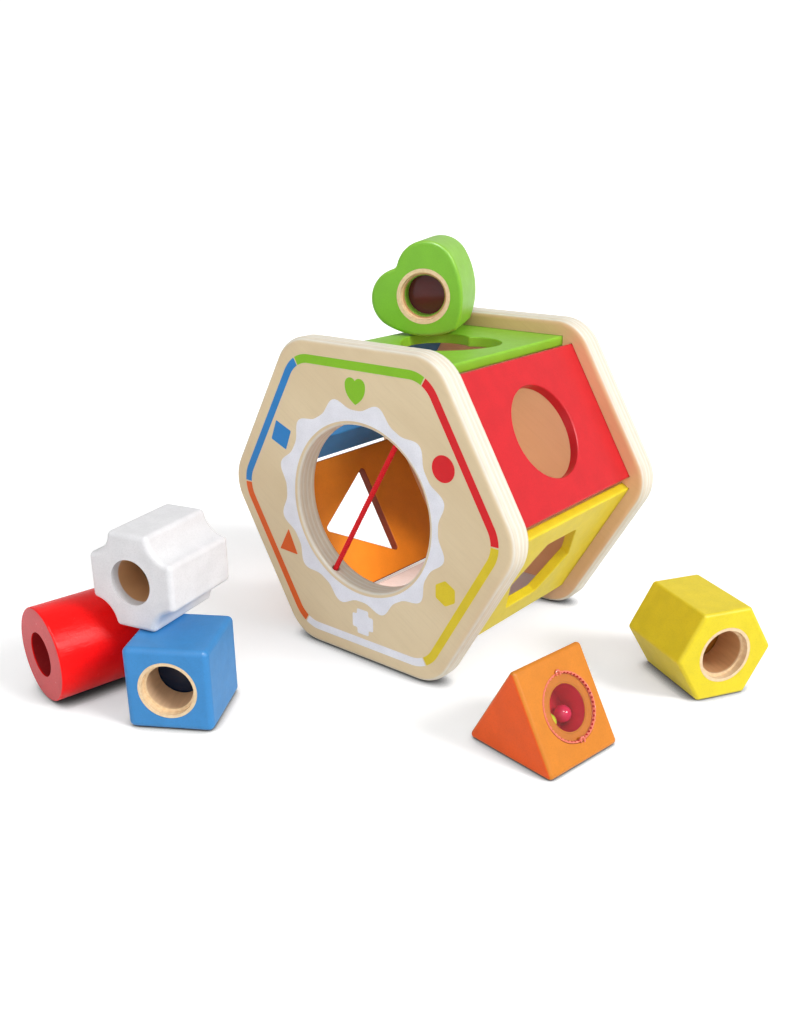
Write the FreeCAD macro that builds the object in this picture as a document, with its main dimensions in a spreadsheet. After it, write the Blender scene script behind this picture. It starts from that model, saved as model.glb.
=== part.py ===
"""Wooden shape sorter: a hexagonal box with six pierced boards, and six loose blocks.

Frame: +Z up, floor at Z = 0, origin at the centre of the front plate's resting face.
The box's axis runs along +Y, from the front plate to the rear plate. Millimetres.
"""
import FreeCAD, Part
import math
import os
import Sketcher
from FreeCAD import Placement, Rotation, Vector

doc = FreeCAD.newDocument("ShapeSorter")

SIZES = [
    # the two end plates
    ("plate_apothem", 68.5),
    ("plate_thickness", 11),
    ("plate_corner_radius", 19),
    ("plate_edge_radius", 3),
    ("opening_radius", 35.7),
    ("opening_edge_radius", 2),
    # the six boards between them
    ("board_apothem", 61.2),
    ("board_width", 64.4),
    ("board_thickness", 4.5),
    ("board_span", 90),
    ("board_edge_radius", 1),
    ("hole_edge_radius", 0.6),
    ("hole_corner_radius", 1.5),
    ("housing_depth", 3),
    ("glue_gap", 0.05),
    ("posting_gap", 0.9),
    ("triangle_posting_gap", 1.1),
    # the elastic cord across the opening
    ("cord_radius", 1.15),
    ("cord_setback", 3.2),
    ("cord_seat", 6),
    ("cord_hole_radius", 1.75),
    ("cord_slope", 60),
    # all blocks
    ("block_length", 37),
    ("block_edge_radius", 1.6),
    ("lens_thickness", 3),
    ("tube_outer_radius", 11.7),
    ("tube_inner_radius", 9.3),
    ("tube_lip_radius", 10.4),
    ("tube_lip_depth", 2.6),
    ("bore_radius", 9.3),
    # heart: lobes, sides and tip, measured from the midpoint between the lobe centres
    ("heart_lobe_offset", 8.3),
    ("heart_lobe_radius", 13.4),
    ("heart_side_radius", 36),
    ("heart_tip_drop", 27.2),
    ("heart_bore_drop", 6.5),
    ("heart_notch_radius", 3),
    ("heart_tip_radius", 2.5),
    ("heart_length", 35),
    ("heart_ring_outer_radius", 12.1),
    ("heart_ring_length", 4),
    ("heart_bore_radius", 8.9),
    ("heart_lens_depth", 9),
    # the other profiles
    ("cylinder_radius", 19.6),
    ("cube_side", 33.8),
    ("cube_edge_radius", 2.4),
    ("cross_side", 39.5),
    ("cross_notch_radius", 10.2),
    ("cross_edge_radius", 2.2),
    ("hexagon_apothem", 18.7),
    ("triangle_side", 42),
    # rattle chamber in the triangle block
    ("window_radius", 13),
    ("window_thickness", 1),
    ("window_rim_width", 0.9),
    ("window_rim_height", 0.4),
    ("window_lug_size", 2),
    ("window_lug_height", 0.7),
    ("window_along", 1.5),
    ("window_drop", 0.2),
    ("cup_radius", 9.3),
    ("cup_wall", 0.6),
    ("cup_depth", 12.5),
    ("bead_radius", 3.3),
    ("bead_gap", 0.05),
    ("bead_spread", 55),
    ("lime_bead_depth", 9),
    ("pink_bead_depth", 9.4),
    # where each block lies: its front face's reference point on the floor, and its turn about Z
    ("heart_at_x", -20.8),
    ("heart_at_y", 55.6),
    ("heart_turn", 26),
    ("heart_roll", 46),
    ("cylinder_at_x", -79.3),
    ("cylinder_at_y", -109.8),
    ("cylinder_turn", -9),
    ("cube_at_x", -34.4),
    ("cube_at_y", -102.5),
    ("cube_turn", 31.9),
    ("cross_at_x", -42.6),
    ("cross_at_y", -89.4),
    ("cross_turn", 13.9),
    ("hexagon_at_x", 132.7),
    ("hexagon_at_y", 60.3),
    ("hexagon_turn", 59.1),
    ("triangle_at_x", 91.3),
    ("triangle_at_y", -29.3),
    ("triangle_turn", -9.1),
    ("resting_gap", 0.1),
]

sheet = doc.addObject("Spreadsheet::Sheet", "Sizes")
for row, (alias, value) in enumerate(SIZES, start=1):
    sheet.set(f"A{row}", alias)
    sheet.set(f"B{row}", str(value))
    sheet.setAlias(f"B{row}", alias)
doc.recompute()

FAR = 200.0  # long enough to cut through any piece
HALF_PI = math.pi / 2


# ---------------------------------------------------------------- helpers

def number(expression):
    """The value that an expression over the sheet has now."""
    value = sheet.evalExpression(expression)
    return float(getattr(value, "Value", value))


def size(alias):
    return number("Sizes." + alias)


def new_body(label):
    body = doc.addObject("PartDesign::Body", label)
    body.Label = label
    return body


def origin_feature(body, role):
    return next(f for f in body.Origin.OriginFeatures if f.Role == role)


def new_sketch(body, name, role="XZ_Plane", inset=None):
    """A sketch on an origin plane. On XZ_Plane, inset moves it towards +Y; on XY_Plane, to -Z."""
    sketch = body.newObject("Sketcher::SketchObject", name)
    sketch.AttachmentSupport = [(origin_feature(body, role), "")]
    sketch.MapMode = "FlatFace"
    if inset:
        sketch.setExpression("AttachmentOffset.Base.z", f"-({inset})")
    return sketch


def bind(sketch, constraint, name, expression):
    """Add a dimension to a sketch and tie it to the sheet."""
    index = sketch.addConstraint(constraint)
    sketch.renameConstraint(index, name)
    sketch.setExpression("Constraints." + name, expression)


def add_circle(sketch, name, radius, right=None, up=None, construction=False):
    """A circle with its centre at the origin, or right and up of it by two expressions."""
    centre = Vector(number(right) if right else 0, number(up) if up else 0, 0)
    circle = Part.Circle(centre, Vector(0, 0, 1), number(radius))
    index = sketch.addGeometry(circle, construction)
    bind(sketch, Sketcher.Constraint("Radius", index, number(radius)), name + "_radius", radius)
    if not right and not up:
        sketch.addConstraint(Sketcher.Constraint("Coincident", index, 3, -1, 1))
        return index
    for kind, wanted, end in (("DistanceX", right, "_right"), ("DistanceY", up, "_up")):
        if wanted:
            place = Sketcher.Constraint(kind, -1, 1, index, 3, number(wanted))
            bind(sketch, place, name + end, wanted)
        else:
            axis = -2 if kind == "DistanceX" else -1
            sketch.addConstraint(Sketcher.Constraint("PointOnObject", index, 3, axis))
    return index


def add_regular_polygon(sketch, sides, apothem, first_corner, side, direction="Horizontal"):
    """A regular polygon about the origin, its first corner at an angle and one side squared up."""
    corner_radius = f"({apothem}) / cos(180 deg / {sides})"
    radius = number(corner_radius)
    angles = [math.radians(first_corner + 360 * i / sides) for i in range(sides)]
    corners = [Vector(radius * math.cos(a), radius * math.sin(a), 0) for a in angles]
    lines = []
    for i in range(sides):
        lines.append(sketch.addGeometry(Part.LineSegment(corners[i], corners[(i + 1) % sides])))
    circle = add_circle(sketch, "corner_circle", corner_radius, construction=True)
    for i in range(sides):
        following = lines[(i + 1) % sides]
        sketch.addConstraint(Sketcher.Constraint("Coincident", lines[i], 2, following, 1))
        sketch.addConstraint(Sketcher.Constraint("PointOnObject", lines[i], 1, circle))
    for line in lines[1:]:
        sketch.addConstraint(Sketcher.Constraint("Equal", lines[0], line))
    sketch.addConstraint(Sketcher.Constraint(direction, lines[side]))


def add_rectangle(sketch, name, width, height, up=None):
    """A rectangle centred on the sketch's Y axis, and on its origin unless up is given."""
    w, d = number(width) / 2, number(height) / 2
    rise = number(up) if up else 0
    corners = [Vector(-w, rise - d, 0), Vector(w, rise - d, 0),
               Vector(w, rise + d, 0), Vector(-w, rise + d, 0)]
    lines = []
    for i in range(4):
        lines.append(sketch.addGeometry(Part.LineSegment(corners[i], corners[(i + 1) % 4])))
    for i in range(4):
        following = lines[(i + 1) % 4]
        sketch.addConstraint(Sketcher.Constraint("Coincident", lines[i], 2, following, 1))
    for i, kind in ((1, "Vertical"), (2, "Horizontal"), (3, "Vertical")):
        sketch.addConstraint(Sketcher.Constraint(kind, lines[i]))
    across = Sketcher.Constraint("DistanceX", lines[0], 1, lines[0], 2, 2 * w)
    bind(sketch, across, name + "_width", width)
    along = Sketcher.Constraint("DistanceY", lines[1], 1, lines[1], 2, 2 * d)
    bind(sketch, along, name + "_height", height)
    sketch.addConstraint(Sketcher.Constraint("Symmetric", lines[0], 1, lines[0], 2, -2))
    bottom = f"({up or 0}) - ({height}) / 2"
    low = Sketcher.Constraint("DistanceY", -1, 1, lines[0], 1, rise - d)
    bind(sketch, low, name + "_bottom", bottom)


def add_notched_square(sketch, side, notch):
    """A square about the origin whose corners are cut back by quarter circles."""
    half, radius = number(side) / 2, number(notch)
    arcs = []
    for i in range(4):
        x_sign = (1, -1, -1, 1)[i]
        y_sign = (1, 1, -1, -1)[i]
        circle = Part.Circle(Vector(x_sign * half, y_sign * half, 0), Vector(0, 0, 1), radius)
        start = math.pi + i * HALF_PI
        arc = sketch.addGeometry(Part.ArcOfCircle(circle, start, start + HALF_PI))
        arcs.append(arc)
        radius_here = Sketcher.Constraint("Radius", arc, radius)
        bind(sketch, radius_here, f"notch_{i}", notch)
        for kind, sign in (("DistanceX", x_sign), ("DistanceY", y_sign)):
            place = Sketcher.Constraint(kind, -1, 1, arc, 3, sign * half)
            bind(sketch, place, f"corner_{kind[-1]}_{i}", f"{sign} * ({side}) / 2")
        first, second = ("Horizontal", "Vertical") if i % 2 == 0 else ("Vertical", "Horizontal")
        sketch.addConstraint(Sketcher.Constraint(first, arc, 1, arc, 3))
        sketch.addConstraint(Sketcher.Constraint(second, arc, 2, arc, 3))
    for i in range(4):
        start = sketch.getPoint(arcs[i], 1)
        end = sketch.getPoint(arcs[(i + 1) % 4], 2)
        line = sketch.addGeometry(Part.LineSegment(start, end))
        sketch.addConstraint(Sketcher.Constraint("Coincident", line, 1, arcs[i], 1))
        sketch.addConstraint(Sketcher.Constraint("Coincident", line, 2, arcs[(i + 1) % 4], 2))


def side_arc(offset, lobe, side, drop):
    """Centre of the heart's right side arc, which is tangent to the right lobe inside it.

    The side arc goes through the tip, and its centre is on the heart's left.
    """
    tip = Vector(0, -drop, 0)
    centre = Vector(offset, 0, 0)
    line = centre - tip
    apart = line.Length
    along = (side * side - (side - lobe) ** 2 + apart * apart) / (2 * apart)
    across = math.sqrt(side * side - along * along)
    line.normalize()
    return tip + line * along + Vector(-line.y, line.x, 0) * across


def add_heart(sketch, gap):
    """Heart outline, tip down: two lobes, and two long arcs that meet at the tip."""
    offset = "Sizes.heart_lobe_offset"
    lobe = f"Sizes.heart_lobe_radius + {gap}"
    side = f"Sizes.heart_side_radius + {gap}"
    drop = f"Sizes.heart_tip_drop + 1.4 * {gap}"
    a, r, big, low = (number(e) for e in (offset, lobe, side, drop))
    right_centre = side_arc(a, r, big, low)
    lobe_centre = Vector(a, 0, 0)
    reach = (lobe_centre - right_centre).normalize()
    join_angle = math.atan2(reach.y, reach.x)
    tip_angle = math.atan2(-low - right_centre.y, -right_centre.x)
    notch_angle = math.atan2(math.sqrt(r * r - a * a), -a)
    axis = Vector(0, 0, 1)
    arcs = []
    for sign in (1, -1):
        big_circle = Part.Circle(Vector(sign * right_centre.x, right_centre.y, 0), axis, big)
        lobe_circle = Part.Circle(Vector(sign * a, 0, 0), axis, r)
        if sign > 0:
            spans = ((big_circle, tip_angle, join_angle), (lobe_circle, join_angle, notch_angle))
        else:
            spans = ((big_circle, math.pi - join_angle, math.pi - tip_angle),
                     (lobe_circle, math.pi - notch_angle, math.pi - join_angle))
        for circle, start, end in spans:
            arcs.append(sketch.addGeometry(Part.ArcOfCircle(circle, start, end)))
    right_side, right_lobe, left_side, left_lobe = arcs
    sketch.addConstraint(Sketcher.Constraint("Tangent", right_side, 2, right_lobe, 1))
    sketch.addConstraint(Sketcher.Constraint("Tangent", left_lobe, 2, left_side, 1))
    sketch.addConstraint(Sketcher.Constraint("Coincident", right_lobe, 2, left_lobe, 1))
    sketch.addConstraint(Sketcher.Constraint("Coincident", left_side, 2, right_side, 1))
    sketch.addConstraint(Sketcher.Constraint("PointOnObject", right_side, 1, -2))
    for name, arc, sign in (("right", right_lobe, 1), ("left", left_lobe, -1)):
        sketch.addConstraint(Sketcher.Constraint("PointOnObject", arc, 3, -1))
        out = Sketcher.Constraint("DistanceX", -1, 1, arc, 3, sign * a)
        bind(sketch, out, name + "_lobe_offset", f"{sign} * {offset}")
        bind(sketch, Sketcher.Constraint("Radius", arc, r), name + "_lobe_radius", lobe)
    for name, arc in (("right", right_side), ("left", left_side)):
        bind(sketch, Sketcher.Constraint("Radius", arc, big), name + "_side_radius", side)
    depth = Sketcher.Constraint("DistanceY", -1, 1, right_side, 1, -low)
    bind(sketch, depth, "tip_drop", f"-({drop})")


def pad(body, sketch, name, length):
    """Pad away from the plane's normal: towards +Y from XZ_Plane, and -Z from XY_Plane."""
    feature = body.newObject("PartDesign::Pad", name)
    feature.Profile = sketch
    feature.setExpression("Length", length)
    feature.Reversed = True
    body.Tip = feature
    doc.recompute()
    return feature


def pocket(body, sketch, name, depth=None):
    """Cut on the pad's side of the sketch plane, through everything unless depth is given."""
    doc.recompute()
    before = body.Shape.Volume
    feature = body.newObject("PartDesign::Pocket", name)
    feature.Profile = sketch
    if depth:
        feature.setExpression("Length", depth)
    else:
        feature.Length = FAR
    feature.Reversed = False
    body.Tip = feature
    doc.recompute()
    check_cut(body, before, name)
    return feature


def check_cut(body, before, name):
    if not body.Shape.Volume < before - 1e-3:
        raise RuntimeError(f"{body.Label}: {name} removed nothing")


def fillet(body, name, radius, chosen):
    """Round the edges of the body so far for which chosen(edge) is true."""
    base = body.Tip
    edges = [f"Edge{i}" for i, e in enumerate(base.Shape.Edges, start=1) if chosen(e)]
    feature = body.newObject("PartDesign::Fillet", name)
    feature.Base = (base, edges)
    feature.setExpression("Radius", radius)
    body.Tip = feature
    doc.recompute()
    return feature


def polar_pattern(body, features, name, count, axis="Y_Axis"):
    pattern = body.newObject("PartDesign::PolarPattern", name)
    pattern.Originals = features
    pattern.Axis = (origin_feature(body, axis), [""])
    pattern.Angle = 360
    pattern.Occurrences = count
    body.Tip = pattern
    doc.recompute()
    return pattern


def subtract_cylinder(body, name, radius, height, placement):
    """Drill a straight hole of a sheet size, from the placement along its +Z."""
    before = body.Shape.Volume
    feature = body.newObject("PartDesign::SubtractiveCylinder", name)
    feature.setExpression("Radius", radius)
    feature.setExpression("Height", height)
    feature.Placement = placement
    body.Tip = feature
    doc.recompute()
    check_cut(body, before, name)
    return feature


def in_plane(edge, axis, level):
    """True for an edge that lies wholly in the plane where one coordinate has one value."""
    box = edge.BoundBox
    low, high = {"y": (box.YMin, box.YMax), "z": (box.ZMin, box.ZMax)}[axis]
    return abs(low - level) < 1e-4 and abs(high - level) < 1e-4


def is_parallel_to_y(edge):
    box = edge.BoundBox
    return box.XLength < 1e-4 and box.ZLength < 1e-4


def is_parallel_to_z(edge):
    box = edge.BoundBox
    return box.XLength < 1e-4 and box.YLength < 1e-4


def is_sharp(shape, edge):
    """True where two faces meet at an angle: not a smooth join, nor a round face's own seam."""
    middle = edge.valueAt((edge.FirstParameter + edge.LastParameter) / 2)
    normals = []
    for face in shape.ancestorsOfType(edge, Part.Face):
        u, v = face.Surface.parameter(middle)
        normals.append(face.normalAt(u, v))
    return len(normals) == 2 and normals[0].getAngle(normals[1]) > math.radians(5)


def reach_from_axis(edge):
    """The greatest distance from the Y axis of an edge's points."""
    points = edge.discretize(9)
    return max(math.hypot(p.x, p.z) for p in points)


def cylinder(label, radius, length, placement):
    """A disc or rod as a Part primitive, its axis along the placement's +Z."""
    rod = doc.addObject("Part::Cylinder", label)
    rod.Label = label
    rod.setExpression("Radius", radius)
    rod.setExpression("Height", length)
    rod.Placement = placement
    doc.recompute()
    return rod


def along_y(distance=0.0):
    """The placement that turns +Z to +Y, and starts at a distance along Y."""
    return Placement(Vector(0, distance, 0), Rotation(Vector(1, 0, 0), -90))


# ---------------------------------------------------------------- the box

AXIS_HEIGHT = size("plate_apothem")
FRONT_FACE_Y = -size("plate_thickness") / 2
FRONT_INNER_Y = FRONT_FACE_Y + size("plate_thickness")
REAR_INNER_Y = FRONT_INNER_Y + size("board_span")


def housing(body, inset):
    """One shallow housing for a board's end, sunk into a plate's inner face, and six of it."""
    outer = "(Sizes.board_apothem + Sizes.glue_gap)"
    deep = "(Sizes.board_thickness + 2 * Sizes.glue_gap)"
    sketch = new_sketch(body, "housing_sketch", inset=inset)
    width = "Sizes.board_width + 2 * Sizes.glue_gap"
    add_rectangle(sketch, "housing", width, deep, up=f"{outer} - {deep} / 2")
    return sketch


def plate(label, has_opening):
    """A hexagonal plate, flat side down, local Y from its outer face to its other face."""
    body = new_body(label)
    sketch = new_sketch(body, "outline")
    add_regular_polygon(sketch, 6, "Sizes.plate_apothem", 0, 1)
    pad(body, sketch, "blank", "Sizes.plate_thickness")
    fillet(body, "corners", "Sizes.plate_corner_radius", is_parallel_to_y)
    if has_opening:
        sketch = new_sketch(body, "opening_sketch")
        add_circle(sketch, "opening", "Sizes.opening_radius")
        pocket(body, sketch, "opening")
        fillet(body, "opening_edges", "Sizes.opening_edge_radius",
               lambda e: reach_from_axis(e) < size("opening_radius") + 1 and not is_parallel_to_y(e))
    limit = size("plate_apothem") - size("plate_edge_radius")
    fillet(body, "outer_edges", "Sizes.plate_edge_radius",
           lambda e: reach_from_axis(e) > limit and not is_parallel_to_y(e))
    # the front plate's inner face is at the far side of its pad, the rear plate's is at Y = 0
    inset = "Sizes.plate_thickness - Sizes.housing_depth" if has_opening else None
    sketch = housing(body, inset)
    cut = pocket(body, sketch, "housing", "Sizes.housing_depth")
    polar_pattern(body, [cut], "housings", 6)
    return body


def cord_direction():
    slope = math.radians(size("cord_slope"))
    return Vector(math.cos(slope), 0, math.sin(slope))


def cord_placement():
    """From the cord's lower end, along the cord, in the front plate's frame."""
    reach = size("opening_radius") + size("cord_seat")
    start = Vector(0, size("cord_setback"), 0) - cord_direction() * reach
    return Placement(start, Rotation(Vector(0, 0, 1), cord_direction()))


def build_plates():
    front = plate("front_plate", True)
    subtract_cylinder(front, "cord_holes", "Sizes.cord_hole_radius",
                      "2 * (Sizes.opening_radius + Sizes.cord_seat)", cord_placement())
    place = Placement(Vector(0, FRONT_FACE_Y, AXIS_HEIGHT), Rotation())
    front.Placement = place
    rear = plate("rear_plate", False)
    rear.Placement = Placement(Vector(0, REAR_INNER_Y, AXIS_HEIGHT), Rotation())
    cord_length = "2 * (Sizes.opening_radius + Sizes.cord_seat - 0.2)"
    inset = Placement(Vector(0, 0, 0.2), Rotation())
    cord = cylinder("elastic_cord", "Sizes.cord_radius", cord_length,
                    place.multiply(cord_placement()).multiply(inset))
    return [front, rear, cord]


def draw_heart_hole(sketch):
    """The heart's tip points to the front plate, and the outline is centred along the board."""
    add_heart(sketch, "Sizes.posting_gap")
    shift = "(Sizes.heart_tip_drop - Sizes.heart_lobe_radius) / 2"
    sketch.setExpression("AttachmentOffset.Base.y", shift)


def draw_round_hole(sketch):
    add_circle(sketch, "hole", "Sizes.cylinder_radius + 0.7 * Sizes.posting_gap")


def draw_hexagon_hole(sketch):
    apothem = "Sizes.hexagon_apothem + Sizes.posting_gap"
    add_regular_polygon(sketch, 6, apothem, 30, 2, "Vertical")


def draw_cross_hole(sketch):
    add_notched_square(sketch, "(Sizes.cross_side + 2 * Sizes.posting_gap)",
                       "(Sizes.cross_notch_radius - 0.5 * Sizes.posting_gap)")


def draw_triangle_hole(sketch):
    apothem = "Sizes.triangle_side / (2 * sqrt(3)) + Sizes.triangle_posting_gap"
    add_regular_polygon(sketch, 3, apothem, 30, 0)


def draw_square_hole(sketch):
    side = "Sizes.cube_side + 2 * Sizes.posting_gap"
    add_rectangle(sketch, "hole", side, side)


BOARDS = [
    # name, direction it faces (degrees from +X towards +Z), outline of its hole
    ("top_board", 90, draw_heart_hole),
    ("upper_right_board", 30, draw_round_hole),
    ("lower_right_board", -30, draw_hexagon_hole),
    ("bottom_board", -90, draw_cross_hole),
    ("lower_left_board", -150, draw_triangle_hole),
    ("upper_left_board", 150, draw_square_hole),
]


def board(label, facing, draw_hole):
    """A board about its centre: local Y along the box, outer face at local Z = 0."""
    body = new_body(label)
    sketch = new_sketch(body, "outline", "XY_Plane")
    length = "Sizes.board_span + 2 * (Sizes.housing_depth - Sizes.glue_gap)"
    add_rectangle(sketch, "board", "Sizes.board_width", length)
    pad(body, sketch, "blank", "Sizes.board_thickness")
    fillet(body, "long_edges", "Sizes.board_edge_radius", is_parallel_to_y)
    sketch = new_sketch(body, "hole_sketch", "XY_Plane")
    draw_hole(sketch)
    cut = pocket(body, sketch, "hole")
    limit = size("board_width") / 2 - size("board_edge_radius") - 1
    thickness = size("board_thickness")

    def is_in_hole(edge):
        box = edge.BoundBox
        return max(-box.XMin, box.XMax, -box.YMin, box.YMax) < limit

    if any(is_in_hole(e) and is_parallel_to_z(e) and is_sharp(cut.Shape, e)
           for e in cut.Shape.Edges):
        fillet(body, "hole_corners", "Sizes.hole_corner_radius",
               lambda e: is_in_hole(e) and is_parallel_to_z(e) and is_sharp(cut.Shape, e))
    fillet(body, "hole_edges", "Sizes.hole_edge_radius",
           lambda e: is_in_hole(e) and (in_plane(e, "z", 0) or in_plane(e, "z", -thickness)))
    angle = math.radians(facing)
    outward = Vector(math.cos(angle), 0, math.sin(angle))
    middle = Vector(0, (FRONT_INNER_Y + REAR_INNER_Y) / 2, AXIS_HEIGHT)
    turn = Rotation(Vector(0, 1, 0), 90 - facing)
    body.Placement = Placement(middle + outward * size("board_apothem"), turn)
    return body


# ---------------------------------------------------------------- the blocks

def block_placement(name, height):
    """A block's front reference point and turn, at a height above the floor."""
    at = Vector(size(name + "_at_x"), size(name + "_at_y"), height)
    return Placement(at, Rotation(Vector(0, 0, 1), size(name + "_turn")))


def start_block(label, draw_profile, length="Sizes.block_length"):
    body = new_body(label)
    sketch = new_sketch(body, "profile")
    draw_profile(sketch)
    pad(body, sketch, "blank", length)
    return body


def round_all_edges(body, length="Sizes.block_length", radius="Sizes.block_edge_radius"):
    """Round the long edges that are not concave, and then both end faces' outlines."""
    fillet(body, "long_edges", radius, is_parallel_to_y)
    far = number(length)
    fillet(body, "end_edges", radius, lambda e: in_plane(e, "y", 0) or in_plane(e, "y", far))


def bore(body, name, radius, right=None, up=None, depth=None, inset=None):
    sketch = new_sketch(body, name + "_sketch", inset=inset)
    add_circle(sketch, name, radius, right, up)
    return pocket(body, sketch, name, depth)


def tube(label, length, placement, lip_at_front, outer="Sizes.tube_outer_radius"):
    """A wooden tube that lines a bore, with a shallow lip at the end that shows."""
    body = new_body(label)
    sketch = new_sketch(body, "ring")
    add_circle(sketch, "outer", outer + " - Sizes.glue_gap")
    add_circle(sketch, "inner", "Sizes.tube_inner_radius")
    pad(body, sketch, "blank", length)
    inset = None if lip_at_front else f"{length} - Sizes.tube_lip_depth"
    bore(body, "lip", "Sizes.tube_lip_radius", depth="Sizes.tube_lip_depth", inset=inset)
    body.Placement = placement
    return body


def lined_block(label, name, draw_profile, length, height, edge="Sizes.block_edge_radius"):
    """A block whose bore holds a lens between two wooden tubes: the block and its four parts."""
    body = start_block(label, draw_profile, length)
    round_all_edges(body, length, edge)
    bore(body, "bore", "Sizes.tube_outer_radius")
    place = block_placement(name, height)
    body.Placement = place
    tube_length = f"(({length}) - Sizes.lens_thickness) / 2 - Sizes.glue_gap"
    far = number(length) - number(tube_length)
    front = tube(name + "_front_tube", tube_length, place, True)
    rear = tube(name + "_rear_tube", tube_length,
                place.multiply(Placement(Vector(0, far, 0), Rotation())), False)
    middle = (number(length) - size("lens_thickness")) / 2
    lens = cylinder(name + "_lens", "Sizes.tube_outer_radius - Sizes.glue_gap",
                    "Sizes.lens_thickness", place.multiply(along_y(middle)))
    return [body, front, rear, lens]


def build_cube():
    """The cube's profile is about its axis, and its reference point is a bottom corner."""
    def profile(sketch):
        add_rectangle(sketch, "side", "Sizes.cube_side", "Sizes.cube_side")

    half = size("cube_side") / 2
    pieces = lined_block("cube_block", "cube", profile, "Sizes.cube_side", half,
                         "Sizes.cube_edge_radius")
    to_axis = pieces[0].Placement.Rotation.multVec(Vector(half, 0, 0))
    for piece in pieces:
        piece.Placement = Placement(to_axis, Rotation()).multiply(piece.Placement)
    return pieces


def build_hexagon():
    def profile(sketch):
        add_regular_polygon(sketch, 6, "Sizes.hexagon_apothem", 0, 1)

    height = size("hexagon_apothem")
    return lined_block("hexagon_block", "hexagon", profile, "Sizes.block_length", height)


def build_cylinder():
    def profile(sketch):
        add_circle(sketch, "side", "Sizes.cylinder_radius")

    body = start_block("cylinder_block", profile)
    far = size("block_length")
    fillet(body, "end_edges", "Sizes.block_edge_radius / 2",
           lambda e: in_plane(e, "y", 0) or in_plane(e, "y", far))
    bore(body, "bore", "Sizes.bore_radius")
    body.Placement = block_placement("cylinder", size("cylinder_radius"))
    return [body]


def build_cross():
    """The cross block lies on top of the cube, beside the cylinder."""
    def profile(sketch):
        add_notched_square(sketch, "Sizes.cross_side", "Sizes.cross_notch_radius")

    body = start_block("cross_block", profile)
    far = size("block_length")
    fillet(body, "long_edges", "Sizes.cross_edge_radius", is_parallel_to_y)
    fillet(body, "end_edges", "Sizes.cross_edge_radius",
           lambda e: in_plane(e, "y", 0) or in_plane(e, "y", far))
    bore(body, "bore", "Sizes.bore_radius")
    height = size("cube_side") + size("resting_gap") + size("cross_side") / 2
    place = block_placement("cross", height)
    body.Placement = place
    middle = (size("block_length") - size("lens_thickness")) / 2
    lens = cylinder("cross_lens", "Sizes.bore_radius - Sizes.glue_gap", "Sizes.lens_thickness",
                    place.multiply(along_y(middle)))
    return [body, lens]


def build_heart():
    """The heart block stands on its convex lower side, on the top board."""
    def profile(sketch):
        add_heart(sketch, "0 * Sizes.posting_gap")

    body = start_block("heart_block", profile, "Sizes.heart_length")
    far = size("heart_length")
    fillet(body, "notch", "Sizes.heart_notch_radius",
           lambda e: is_parallel_to_y(e) and abs(e.BoundBox.XMax) < 1e-3 and e.BoundBox.ZMax > 0)
    fillet(body, "tip", "Sizes.heart_tip_radius",
           lambda e: is_parallel_to_y(e) and abs(e.BoundBox.XMax) < 1e-3 and e.BoundBox.ZMax < 0)
    fillet(body, "end_edges", "Sizes.block_edge_radius",
           lambda e: in_plane(e, "y", 0) or in_plane(e, "y", far))
    drop = "-Sizes.heart_bore_drop"
    bore(body, "bore", "Sizes.heart_bore_radius", up=drop)
    length = "Sizes.heart_ring_length"
    bore(body, "front_seat", "Sizes.heart_ring_outer_radius", up=drop, depth=length)
    bore(body, "rear_seat", "Sizes.heart_ring_outer_radius", up=drop, depth=length,
         inset=f"Sizes.heart_length - {length}")
    place = block_placement("heart", 0)
    place = place.multiply(Placement(Vector(), Rotation(Vector(0, 1, 0), -size("heart_roll"))))
    body.Placement = place
    board_top = AXIS_HEIGHT + size("board_apothem") + size("resting_gap")
    rise = board_top - body.Shape.optimalBoundingBox().ZMin
    place = Placement(Vector(0, 0, rise), Rotation()).multiply(place)
    body.Placement = place
    axis = place.multiply(Placement(Vector(0, 0, number(drop)), Rotation()))
    outer = "Sizes.heart_ring_outer_radius"
    front = tube("heart_front_ring", length, axis, True, outer)
    seat = axis.multiply(Placement(Vector(0, far - size("heart_ring_length"), 0), Rotation()))
    rear = tube("heart_rear_ring", length, seat, False, outer)
    lens = cylinder("heart_lens", "Sizes.heart_bore_radius - Sizes.glue_gap",
                    "Sizes.lens_thickness", axis.multiply(along_y(size("heart_lens_depth"))))
    return [body, front, rear, lens]


# ---------------------------------------------------------------- the rattle block

def chamber_frame():
    """In the triangle block: at its window's centre, local Y into the block, local Z up the slope."""
    side = size("triangle_side")
    inradius = side / (2 * math.sqrt(3))
    face = Vector(math.cos(math.pi / 6), 0, math.sin(math.pi / 6)) * inradius
    slope = Vector(-math.sin(math.pi / 6), 0, math.cos(math.pi / 6))
    along = Vector(0, size("block_length") / 2 + size("window_along"), 0)
    centre = face + along - slope * size("window_drop")
    turn = Rotation(Vector(0, 0, 1), 90).multiply(Rotation(Vector(1, 0, 0), -30))
    return Placement(centre, turn)


def window(placement):
    """Clear disc with a raised rim and two lugs, flush in its recess."""
    body = new_body("triangle_window")
    sketch = new_sketch(body, "disc_sketch")
    add_circle(sketch, "disc", "Sizes.window_radius - Sizes.glue_gap")
    pad(body, sketch, "disc", "Sizes.window_thickness")
    sketch = new_sketch(body, "rim_sketch")
    add_circle(sketch, "outer", "Sizes.window_radius - Sizes.glue_gap")
    add_circle(sketch, "inner", "Sizes.window_radius - Sizes.window_rim_width")
    pad(body, sketch, "rim", "Sizes.window_rim_height").Reversed = False
    sketch = new_sketch(body, "lug_sketch")
    up = "Sizes.window_radius - Sizes.window_rim_width / 2"
    add_rectangle(sketch, "lug", "Sizes.window_lug_size", "Sizes.window_lug_size", up=up)
    lug = pad(body, sketch, "lug", "Sizes.window_lug_height")
    lug.Reversed = False
    polar_pattern(body, [lug], "lugs", 2)
    body.Placement = placement
    return body


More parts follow.
